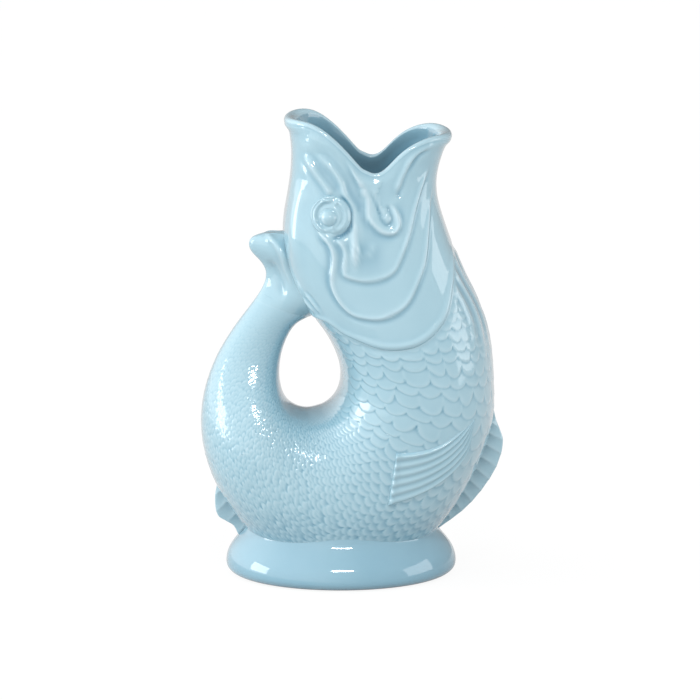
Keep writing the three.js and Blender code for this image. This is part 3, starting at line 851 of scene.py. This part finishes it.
TAIL_START = RUNG_NUMBER["tail_root"]
TAIL_END = RUNG_NUMBER["fluke_root"]
chest = scaled_tube("glazed_chest", gill_places - 0.2, BELLY_START, 400, 170, 24, under_gills)
belly = scaled_tube("glazed_belly", BELLY_START, TAIL_START, 560, 156, 16)
tail = scaled_tube("glazed_tail", TAIL_START, TAIL_END, 420, 200, 20)

# %% [markdown]
# ## The fluke
# The tail fin is pressed against the back of the neck, a thick leaf with one free lobe. It is the same
# ladder carried on to its last rungs, swelled to a wedge, and closed at its tip by drawing the last slice
# together in a dome. A ridge and a valley down its side are lines drawn in the side view.

# %% The fluke
FLUKE_COLUMNS, FLUKE_ROWS, TIP_ROWS = 200, 170, 16
FLUKE_START = WRIST + 0.3
FLUKE_END = RUNG_NUMBER["fluke_top"]
FLUKE_EDGE_HALF = 1.8
FLUKE_SPREAD = {22.5: 0.82, 24.5: 0.74, 26: 0.66}
NAPE_HOLLOW = 0.4
TIP_DEPTH = 0.8
FLUKE_RIDGE = [
    (-43, 170.6), (-40.8, 168.8), (-36.8, 164.4), (-34.4, 160.4), (-32.4, 153.4), (-30.4, 148),
    (-29.2, 142.6),
]
FLUKE_VALLEY = [(-41.8, 158.4), (-38.8, 153.2), (-36.6, 149), (-35.2, 144.8), (-35, 141), (-35.8, 138)]


def side_line(skin_points, points):
    """Distance from a line drawn in the side view, and the share of it passed."""
    flat = skin_points * (1, 0, 1) - (0, 1, 0)
    facing = np.zeros_like(flat) - (0, 1, 0)
    return from_line(flat, facing, line_through([(x, -1, z) for x, z in points], LINE_STEPS))


fluke_turns = np.linspace(0, 1, FLUKE_COLUMNS + 1)[None, :]
fluke_places = np.linspace(FLUKE_START, FLUKE_END, FLUKE_ROWS)[:, None]
fluke_skin = skin(fluke_places, fluke_turns)
(mid_x, mid_z), (to_x, to_z), reach, _ = rung_at(fluke_places)
depth_in = reach - (fluke_skin[..., 0] - mid_x) * to_x - (fluke_skin[..., 2] - mid_z) * to_z
round_edge = rounded_edge(depth_in, FLUKE_EDGE_HALF)
closing = np.sqrt(np.clip(1 - np.clip((depth_in - 2 * reach + 3) / 3, 0, 1) ** 2, 0, 1))
wedge = (FLUKE_EDGE_HALF * round_edge + from_table(FLUKE_SPREAD, fluke_places) * depth_in) * closing
from_ridge, down_ridge = side_line(fluke_skin, FLUKE_RIDGE)
wedge *= 1 - NAPE_HOLLOW * smooth_step(from_ridge, 0.5, 6) * (1 - smooth_step(down_ridge, 0.35, 0.8))
spread = smooth_step(fluke_places, WRIST + 0.5, WRIST + 2)
fluke_skin[..., 1] += spread * (np.sign(fluke_turns - 0.5) * wedge - fluke_skin[..., 1])

gap, share = side_line(fluke_skin, FLUKE_RIDGE)
fluke_relief = 1.0 * ridge(gap, 1.5) * ends_fade(share, 0.15, 0.25)
gap, share = side_line(fluke_skin, FLUKE_VALLEY)
fluke_relief -= 1.2 * ridge(gap, 1.9) * ends_fade(share, 0.3, 0.3)
fluke_relief -= WRIST_SINK * (1 - smooth_step(fluke_places, WRIST + 0.45, WRIST + 0.75))
fluke_pool = pooling(fluke_relief, 20, 0.8)
fluke_skin = fluke_skin + ring_normals(fluke_skin) * fluke_relief[..., None]
last_ring = fluke_skin[-1]
onward = last_ring.mean(0) - fluke_skin[-8].mean(0)
onward /= np.linalg.norm(onward)
tip_angles = np.linspace(0, np.pi / 2, TIP_ROWS + 1)[1:, None, None]
tip = last_ring.mean(0) + np.cos(tip_angles) * (last_ring - last_ring.mean(0))
tip = tip + np.sin(tip_angles) * TIP_DEPTH * onward
root = np.broadcast_to(fluke_skin[0].mean(0), (1, FLUKE_COLUMNS + 1, 3))
fluke_table = np.concatenate([root, fluke_skin, tip])
fluke = rolled_grid("glazed_fluke", FLUKE_COLUMNS, len(fluke_table) - 1)
plain_root, plain_tip = np.zeros((1, FLUKE_COLUMNS + 1)), np.zeros((TIP_ROWS, FLUKE_COLUMNS + 1))
shape_grid(fluke, fluke_table, np.concatenate([plain_root, fluke_pool, plain_tip]))
print("fluke:", len(fluke.data.polygons), "faces")

# %% [markdown]
# ## The foot
# The foot is an oval bun under the belly. It is turned up the way a potter would: a ring is drawn once and
# pulled up the profile loop by loop, each loop resized about the foot's middle.

# %% The foot
FOOT_MIDDLE_X, FOOT_REACH_X, FOOT_REACH_Y = -5.5, 56.5, 49.7
FOOT_RING, FOOT_RECESS = 6, 2.5
FOOT_POINTS = 288
FOOT_SWEEP = [
    # out along the fish, out across it, height
    (-7, -6, 0), (-4.6, -3.6, 0.5), (-2.3, -1.3, 1.6), (-0.8, -0.2, 3), (-0.1, 0, 4.4), (0, -0.5, 7),
    (-0.4, -1.5, 9.4), (-1.1, -2.8, 11.6), (-2.5, -4.85, 14.4), (-4.6, -6.95, 17.1), (-7, -8.95, 19.8),
    (-8.2, -9.8, 21.4), (-8.8, -10.2, 22.6), (-9.2, -10.35, 24.2), (-9.9, -10.6, 26.2), (-12.5, -12.5, 28),
]

recess = [(-12 - FOOT_RING, FOOT_RECESS), (-8 - FOOT_RING, FOOT_RECESS * 0.6), (-7 - FOOT_RING, 0.2)]
foot_profile = [(out, out, z) for out, z in recess]
foot_profile += [tuple(point) for point in eased(line_through(FOOT_SWEEP, 8), 6)]
foot_profile += [(-18, -18, 24)]

bpy.ops.object.select_all(action="DESELECT")
bpy.ops.mesh.primitive_circle_add(vertices=FOOT_POINTS, radius=1, fill_type="NOTHING")
foot = bpy.context.object
foot.name = foot.data.name = "glazed_foot"
bpy.ops.object.mode_set(mode="EDIT")
bpy.ops.mesh.select_all(action="SELECT")
middle = (FOOT_MIDDLE_X * MM, 0, 0)
out_x, out_y, first_z = foot_profile[0]
ring_reach = ((FOOT_REACH_X + out_x) * MM, (FOOT_REACH_Y + out_y) * MM)
bpy.ops.transform.resize(value=(*ring_reach, 1), center_override=(0, 0, 0))
bpy.ops.transform.translate(value=(middle[0], 0, first_z * MM))
bpy.ops.mesh.edge_face_add()
bpy.ops.mesh.select_all(action="SELECT")
bpy.ops.mesh.select_mode(type="EDGE")
low_z = first_z
for out_x, out_y, z in foot_profile[1:]:
    wider = ((FOOT_REACH_X + out_x) * MM, (FOOT_REACH_Y + out_y) * MM)
    bpy.ops.mesh.extrude_edges_move(TRANSFORM_OT_translate={"value": (0, 0, (z - low_z) * MM)})
    growth = (wider[0] / ring_reach[0], wider[1] / ring_reach[1], 1)
    bpy.ops.transform.resize(value=growth, center_override=middle)
    ring_reach, low_z = wider, z
bpy.ops.mesh.edge_face_add()
bpy.ops.mesh.select_all(action="SELECT")
bpy.ops.mesh.normals_make_consistent(inside=False)
bpy.ops.object.mode_set(mode="OBJECT")
bpy.ops.object.shade_smooth()
foot_points = np.empty(3 * len(foot.data.vertices))
foot.data.vertices.foreach_get("co", foot_points)
# The foot is coloured darker and bluer than the body, more so towards the floor.
darker_towards_floor = 0.45 + 0.2 * (1 - foot_points[2::3] / (FOOT_SWEEP[-1][2] * MM))
foot.data.attributes.new("pool_and_shade", "FLOAT", "POINT").data.foreach_set("value", darker_towards_floor.astype(np.float32))
print("foot:", len(foot.data.polygons), "faces")

# %% [markdown]
# ## Eyes and side fins
# Both are leaves of clay laid on the skin: a grid is drawn in the side view, set on the skin and raised by
# its own relief, and then given a thickness inwards so that it closes inside the wall. The photograph shows
# one side; the other is the same leaf with its breadth turned round.

# %% Laying a leaf on the skin
LEAF_DEPTH = 1.7
STEP_ASIDE = 0.4


def leaf(name, side_points, relief, pool_and_shade, first, last, mirror):
    """A closed leaf over a table of side-view points, raised by a table of heights."""
    shape = side_points.shape[:2]
    base = on_side(side_points.reshape(-1, 2), first, last)
    moved_x = on_side(side_points.reshape(-1, 2) + (STEP_ASIDE, 0), first, last) - base
    moved_z = on_side(side_points.reshape(-1, 2) + (0, STEP_ASIDE), first, last) - base
    out = np.cross(moved_x, moved_z)
    out /= np.linalg.norm(out, axis=1, keepdims=True)
    out *= np.sign(-out[:, 1:2])
    points = (base + out * relief.reshape(-1, 1)).reshape(*shape, 3)
    if mirror:
        points = points * (1, -1, 1)
    piece = rolled_grid(name, shape[1] - 1, shape[0] - 1)
    shape_grid(piece, points, pool_and_shade)
    wall = piece.modifiers.new("clay", "SOLIDIFY")
    wall.thickness, wall.offset = LEAF_DEPTH * MM, -1
    outward = np.empty(3 * len(piece.data.polygons))
    piece.data.polygons.foreach_get("normal", outward)
    if np.sign(outward.reshape(-1, 3)[:, 1].mean()) != (1 if mirror else -1):
        bpy.ops.object.mode_set(mode="EDIT")
        bpy.ops.mesh.select_all(action="SELECT")
        bpy.ops.mesh.flip_normals()
        bpy.ops.object.mode_set(mode="OBJECT")
    bpy.ops.object.modifier_apply(modifier=wall.name)
    bpy.ops.object.shade_smooth()
    return piece


print("leaves are", LEAF_DEPTH, "mm thick")

# %% The eyes
EYE_STEPS = 130
EYE_LEAF_RADIUS, EYE_RIM_DEPTH = EYE_RADIUS * 1.06, 1.5
EYE_DOME, EYE_DOME_RADIUS = 2.0, 10.4
PUPIL_MIDDLE, PUPIL_RADIUS, PUPIL_RISE = (-1.1, -0.9), 3.9, 1.9
LID_TURN, FOLD_TURN = math.radians(168), math.radians(0)
# height, radius and width of the rings that make the lid and the fold
LID_RINGS = [(1.2, 9.1, 0.8), (0.9, 7.6, 0.8), (-0.5, 6.1, 1.1)]
FOLD_RINGS = [(0.7, 7.6, 1.4), (-0.4, 5.6, 0.9)]
EYE_LUMPS = [
    (-3.6, 7), (-1.2, 6.9), (2.6, 6.6), (1.4, 9.7), (4.2, 8.9), (0.7, -5.7), (1.2, -7.5), (1.6, -9.2),
]

square = np.linspace(-1, 1, EYE_STEPS + 1)
flat_x, flat_z = np.meshgrid(square, square)
aside = EYE_LEAF_RADIUS * flat_x * np.sqrt(1 - flat_z**2 / 2)
above = EYE_LEAF_RADIUS * flat_z * np.sqrt(1 - flat_x**2 / 2)
eye_far, eye_angle = np.hypot(aside, above), np.arctan2(above, aside)
eye_points = EYE_MIDDLE + np.stack([aside, above], -1)
pupil_gap = np.hypot(aside - PUPIL_MIDDLE[0], above - PUPIL_MIDDLE[1])
lid = smooth_step(np.cos(eye_angle - LID_TURN), -0.1, 0.5)
fold = smooth_step(np.cos(eye_angle - FOLD_TURN), 0.1, 0.7)
eye_relief = 0.3 + EYE_DOME * (1 - (eye_far / EYE_DOME_RADIUS) ** 2)
eye_relief -= 0.9 * smooth_step(eye_far, 6, 10) * smooth_step(-above, 4, 9)
for part, rings in ((lid, LID_RINGS), (fold, FOLD_RINGS)):
    for height, radius, width in rings:
        eye_relief += part * height * ridge(eye_far - radius, width)
pupil = PUPIL_RISE * np.clip(1 - (pupil_gap / PUPIL_RADIUS) ** 2, 0, 1)
eye_relief += pupil - 0.35 * ridge(pupil_gap - 4.2, 0.7)
for lump_aside, lump_above in EYE_LUMPS:
    eye_relief += 0.6 * ridge(np.hypot(aside - lump_aside, above - lump_above), 0.9)
inside_rim = smooth_step(EYE_LEAF_RADIUS - eye_far, 0, 1.4)
eye_relief = -EYE_RIM_DEPTH + (eye_relief + EYE_RIM_DEPTH) * inside_rim
# The pale arc on the left edge of the pupil is a painted highlight.
pupil_highlight_side = smooth_step(PUPIL_MIDDLE[0] - aside, 0.8, 2.6)
eye_glaze_and_highlight = pooling(eye_relief, 14, 0.9) - 0.8 * pupil_highlight_side * ridge(pupil_gap - 3, 0.9)
eyes = [
    leaf("glazed_eye_right", eye_points, eye_relief, eye_glaze_and_highlight, 0, 6, False),
    leaf("glazed_eye_left", eye_points, eye_relief, eye_glaze_and_highlight, 0, 6, True),
]
print("eyes:", [len(eye.data.polygons) for eye in eyes])

# %% The side fins
FIN_ROOT = (58.5, 83.5)
FIN_TOP = [FIN_ROOT, (53.4, 80.4), (47.3, 76.5), (38.9, 72), (29.4, 69.8), (19.9, 69)]
FIN_BOTTOM = [
    FIN_ROOT, (57, 71.5), (54.9, 65.5), (49, 58), (42, 52.6), (35.8, 48.9), (26.4, 45), (15.8, 42.1),
]
FIN_RAYS = 6
FIN_LONG, FIN_WIDE = 110, 130
FIN_LENGTH, FIN_DEPTH = 42, 24
FIN_SINK, FIN_ROUNDING = 0.8, 1.3
top, bottom = line_through(FIN_TOP, 40), line_through(FIN_BOTTOM, 40)


def evenly(line, count):
    passed = np.concatenate([[0], np.cumsum(np.linalg.norm(np.diff(line, axis=0), axis=1))])
    spots = np.linspace(0, passed[-1], count)
    return np.stack([np.interp(spots, passed, k) for k in line.T], 1)


fin_down = np.linspace(0, 1, FIN_WIDE + 1)[None, :, None]
fin_out = np.linspace(0.04, 1, FIN_LONG + 1)[:, None]
fin_upper, fin_lower = (evenly(line, FIN_LONG + 1)[:, None] for line in (top, bottom))
fin_points = fin_upper * (1 - fin_down) + fin_lower * fin_down
down = fin_down[..., 0]
rays = 0.5 + 0.5 * np.cos(2 * np.pi * (FIN_RAYS * down - 0.5))
from_tip, from_top, from_bottom = (1 - fin_out) * FIN_LENGTH, down * FIN_DEPTH, (1 - down) * FIN_DEPTH
fin_relief = 0.7 + 0.8 * fin_out**1.3 + 0.7 * rays * smooth_step(fin_out, 0.0, 0.3)
fin_relief = fin_relief + 0.9 * ridge(from_tip - 1.2, 1.1) + 0.6 * ridge(from_top - 1.2, 1.1) * fin_out
border = np.minimum(np.minimum(from_top, from_bottom) * np.maximum(fin_out, 0.15), from_tip)
fin_relief = -FIN_SINK + (fin_relief + FIN_SINK) * rounded_edge(border, FIN_ROUNDING)
fin_pool = np.clip(0.3 - 0.5 * rays * smooth_step(fin_out, 0, 0.4), -1, 1)
side_fins = [
    leaf("glazed_side_fin_right", fin_points, fin_relief, fin_pool, 6, 13, False),
    leaf("glazed_side_fin_left", fin_points, fin_relief, fin_pool, 6, 13, True),
]
print("side fins:", [len(fin.data.polygons) for fin in side_fins])

# %% [markdown]
# ## Fins down the middle
# The belly fin and the small one under the tail are thin plates that stand on the mould's parting line,
# with rays on both faces. A closed strip is rolled round each plate's thickness, and drawn to a point at
# both ends, where the fin runs out into the body.

# %% Fins on the parting line
BELLY_FIN_EDGE = [
    (68.5, 86), (70.6, 76), (74, 65.5), (71.3, 53.5), (64.2, 41.5), (55.2, 31.3), (42.5, 21.5),
]
BELLY_FIN_ROOT = [(65, 84), (64.5, 74), (61, 63), (55.5, 52), (50, 42.5), (44.5, 33.5), (39, 22)]
TAIL_FIN_EDGE = [
    (-66, 47), (-67.4, 38), (-67, 31.6), (-65.6, 28), (-62, 25.8), (-58.4, 23.4), (-56, 19),
]
TAIL_FIN_ROOT = [(-62, 47), (-58.5, 41), (-55, 35.5), (-51.5, 30.5), (-49.5, 26), (-48.5, 19)]
FIN_STEPS, FIN_AROUND = 260, 44
RAY_LEAN = 1.0


def middle_fin(name, edge, base, rays_count, root_half, edge_half, scoop):
    """A closed plate between two side-view lines, with thin leaning rays and a hollow after each one."""
    outer, inner = (evenly(line_through(line, 30), FIN_STEPS + 1) for line in (edge, base))
    along = np.linspace(0, 1, FIN_STEPS + 1)[:, None]
    loop = np.linspace(0, 2 * np.pi, FIN_AROUND + 1)[None, :]
    out = (0.5 - 0.5 * np.cos(loop)) ** 0.8
    taper = np.sqrt(np.clip(1 - (2 * along - 1) ** 8, 0, 1))
    cell = np.mod(rays_count * along - RAY_LEAN * out, 1)
    hollow = np.sin(np.pi * cell**0.75) ** 0.7
    half = (root_half + (edge_half - root_half) * out) * np.abs(np.sin(loop)) ** 0.45
    half = half * (1 - scoop * hollow * (1 - 0.55 * out))
    side = np.sign(np.sin(loop)) * half * taper
    scallop = 0.012 * (1 - hollow) * smooth_step(out, 0.6, 1)
    flat = inner[:, None] + (outer - inner)[:, None] * (out + scallop)[..., None]
    table = np.stack([flat[..., 0], side, flat[..., 1]], -1)
    table[0], table[-1] = table[0].mean(0), table[-1].mean(0)
    pool_and_shade = np.clip(0.8 * hollow * (1.1 - 0.6 * out) - 0.5, -1, 1)
    piece = rolled_grid(name, FIN_AROUND, FIN_STEPS)
    shape_grid(piece, table, pool_and_shade)
    print(name, len(piece.data.polygons), "faces")
    return piece


belly_fin = middle_fin("glazed_belly_fin", BELLY_FIN_EDGE, BELLY_FIN_ROOT, 11, 4.2, 1.6, 0.55)
tail_fin = middle_fin("glazed_tail_fin", TAIL_FIN_EDGE, TAIL_FIN_ROOT, 4, 3.6, 1.5, 0.5)

# %% [markdown]
# ## Glaze
# One pale blue gloss glaze covers everything. It is a glass: thin and pale where it runs off ridges, deep
# and bluer where it pools. Each mesh carries that depth in its own attribute, and some add painted shade
# to it: inside the mouth, round the handle hole, low on the belly and in the crease by the eye, partly
# deeper glaze in each, and a painted highlight on the pupil. A shared node group turns it into colour, with
# a slow cloudiness over it as on any dipped glaze.

# %% The pooled glaze
# The deep end colours pooled glaze and the painted shade, the thin end thin glaze and the painted highlight
# on the pupil.
THIN_GLAZE_AND_HIGHLIGHT = (0.50, 0.66, 0.73, 1)
EVEN_GLAZE = (0.333, 0.522, 0.606, 1)
DEEP_GLAZE_AND_SHADE = (0.085, 0.26, 0.38, 1)
CLOUD_SCALE, RIPPLE_SCALE = 28, 140
GLAZE_SOCKETS = [
    ("Pooling", "INPUT", "NodeSocketFloat"), ("Cloud", "INPUT", "NodeSocketFloat"),
    ("Color", "OUTPUT", "NodeSocketColor"), ("Height", "OUTPUT", "NodeSocketFloat"),
]


def pooled_glaze_and_painted_light():
    group = bpy.data.node_groups.new("pooled_glaze_and_painted_light", "ShaderNodeTree")
    for name, way, kind in GLAZE_SOCKETS:
        group.interface.new_socket(name, in_out=way, socket_type=kind)
    given, result = group.nodes.new("NodeGroupInput").outputs, group.nodes.new("NodeGroupOutput")
    depth_and_shade = node(group, "Attribute", attribute_name="pool_and_shade").outputs["Fac"]
    where = node(group, "TexCoord").outputs["Object"]
    cloud = node(group, "TexNoise", {"Vector": where, "Scale": CLOUD_SCALE, "Detail": 3}).outputs["Fac"]
    ripple = node(group, "TexNoise", {"Vector": where, "Scale": RIPPLE_SCALE}).outputs["Fac"]
    centre = node(group, "Math", {0: cloud, 1: 0.5}, operation="SUBTRACT").outputs[0]
    spread = node(group, "Math", {0: depth_and_shade, 1: given["Pooling"]}, operation="MULTIPLY").outputs[0]
    drift = node(group, "Math", {0: centre, 1: given["Cloud"]}, operation="MULTIPLY").outputs[0]
    total = node(group, "Math", {0: spread, 1: drift}, operation="ADD").outputs[0]
    scale = node(group, "MapRange", {"Value": total, "From Min": -1, "From Max": 1}).outputs["Result"]
    ramp = node(group, "ValToRGB", {"Fac": scale})
    ramp.color_ramp.elements[0].color = THIN_GLAZE_AND_HIGHLIGHT
    ramp.color_ramp.elements[1].color = DEEP_GLAZE_AND_SHADE
    ramp.color_ramp.elements.new(0.5).color = EVEN_GLAZE
    fill(group, result, {"Color": ramp.outputs["Color"], "Height": ripple})
    return group


GLAZE = pooled_glaze_and_painted_light()
print("nodes in the glaze:", len(GLAZE.nodes))

# %% [markdown]
# ## Finishes
# The smooth clay, the scales, the fins and the foot wear the same glaze, but it runs a little differently
# on each, so each has its own share of pooling, cloudiness and roughness. A clear coat gives the sharp
# lights, and a very faint ripple keeps them from looking machined.

# %% Four finishes
GLASS_IOR, COAT_SHARE, COAT_ROUGHNESS = 1.52, 0.9, 0.02
RIPPLE_SHARE, RIPPLE_DEPTH = 0.05, 1 * MM


def glaze(name, pooling_share, cloud_share, roughness):
    material = bpy.data.materials.new(name)
    material.use_nodes = True
    tree = material.node_tree
    run = {"Pooling": pooling_share, "Cloud": cloud_share}
    glaze_and_shade = node(tree, "Group", run, node_tree=GLAZE).outputs
    ripple = {"Height": glaze_and_shade["Height"], "Strength": RIPPLE_SHARE, "Distance": RIPPLE_DEPTH}
    fill(tree, tree.nodes["Principled BSDF"], {
        "Base Color": glaze_and_shade["Color"],
        "Normal": node(tree, "Bump", ripple).outputs["Normal"],
        "Roughness": roughness,
        "IOR": GLASS_IOR,
        "Coat Weight": COAT_SHARE,
        "Coat Roughness": COAT_ROUGHNESS,
    })
    return material


FINISHES = {
    "glazed_body": glaze("glaze_on_smooth_clay", 0.9, 0.30, 0.08),
    "glazed_scales": glaze("glaze_on_scales", 0.9, 0.30, 0.10),
    "glazed_fins": glaze("glaze_on_fins", 0.7, 0.30, 0.09),
    "glazed_foot": glaze("glaze_on_foot", 0.8, 0.35, 0.07),
}
print("glazes:", list(FINISHES))

# %% [markdown]
# ## What stands for what
# Every piece rides on the jug's one body and wears the finish listed for it, and the packed solids that it
# stands for are hidden, so that the plain solid isn't shown under it.

# %% Riding, finishes and hidden solids
DRESSED = [
    (head, "glazed_body", ["head_shell", "gill_cover_right", "gill_cover_left"]),
    (chest, "glazed_scales", ["belly_shell"]),
    (belly, "glazed_scales", ["belly_shell"]),
    (tail, "glazed_scales", ["tail_handle"]),
    (fluke, "glazed_body", ["tail_fluke"]),
    (foot, "glazed_foot", ["foot"]),
    (eyes[0], "glazed_body", ["eye_right"]),
    (eyes[1], "glazed_body", ["eye_left"]),
    (side_fins[0], "glazed_fins", ["pectoral_fin_right"]),
    (side_fins[1], "glazed_fins", ["pectoral_fin_left"]),
    (belly_fin, "glazed_fins", ["belly_fin"]),
    (tail_fin, "glazed_fins", ["tail_fin"]),
]
for piece, finish, solids in DRESSED:
    piece.data.materials.clear()
    piece.data.materials.append(FINISHES[finish])
    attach(piece, "root")
    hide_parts(*solids)
print("pieces:", len(DRESSED), "faces:", sum(len(piece.data.polygons) for piece, _, _ in DRESSED))
